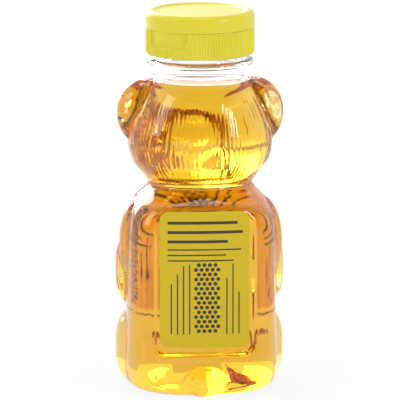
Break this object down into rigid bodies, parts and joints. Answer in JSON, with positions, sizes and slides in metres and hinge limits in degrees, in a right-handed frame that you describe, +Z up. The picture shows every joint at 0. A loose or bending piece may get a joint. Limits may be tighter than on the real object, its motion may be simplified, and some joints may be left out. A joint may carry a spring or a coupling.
{
  "type": "honey bear bottle",
  "caption": "Clear plastic squeeze bottle shaped as a sitting bear, filled with honey, with sunk label panels, a support ring at the neck and a ribbed screw-on flip-top closure.",
  "frame": {"origin": "middle of the base, on the surface that the bottle stands on", "axes": "+Z up through the neck, the bear faces -Y, +X towards the bear's left arm"},
  "size_m": [0.0644, 0.0579, 0.145],
  "materials": {
    "clear_pet": "clear, glossy",
    "honey": "clear amber liquid",
    "label_film": "satin printed film",
    "washer_foam": "fine foam",
    "closure_plastic": "satin moulded"
  },
  "bodies": {
    "bottle": {"bottle_body": "clear_pet", "bottle_neck": "clear_pet", "honey": "honey", "back_label": "label_film", "front_label": "label_film"},
    "seal": {"sealing_washer": "washer_foam"},
    "closure": {"closure_base": "closure_plastic", "film_hinge": "closure_plastic"},
    "lid": {"flip_lid": "closure_plastic"}
  },
  "joints": [
    {"name": "closure_lift", "type": "slide", "parent": "bottle", "child": "seal", "axis": [0, 0, 1], "range_m": [0, 0.00635]},
    {"name": "closure_turn", "type": "hinge", "parent": "seal", "child": "closure", "pos_m": [0, 0, 0.1335], "axis": [0, 0, 1], "range_deg": [0, 540]},
    {"name": "lid_open", "type": "hinge", "parent": "closure", "child": "lid", "pos_m": [-0.01449, -0.01554, 0.13855], "axis": [0.7314, -0.682, 0], "range_deg": [0, 165], "deforming": ["film_hinge"]}
  ],
  "couplings": [
    {"joint": "closure_lift", "follows": "closure_turn", "m_per_rad": 0.0006737}
  ]
}
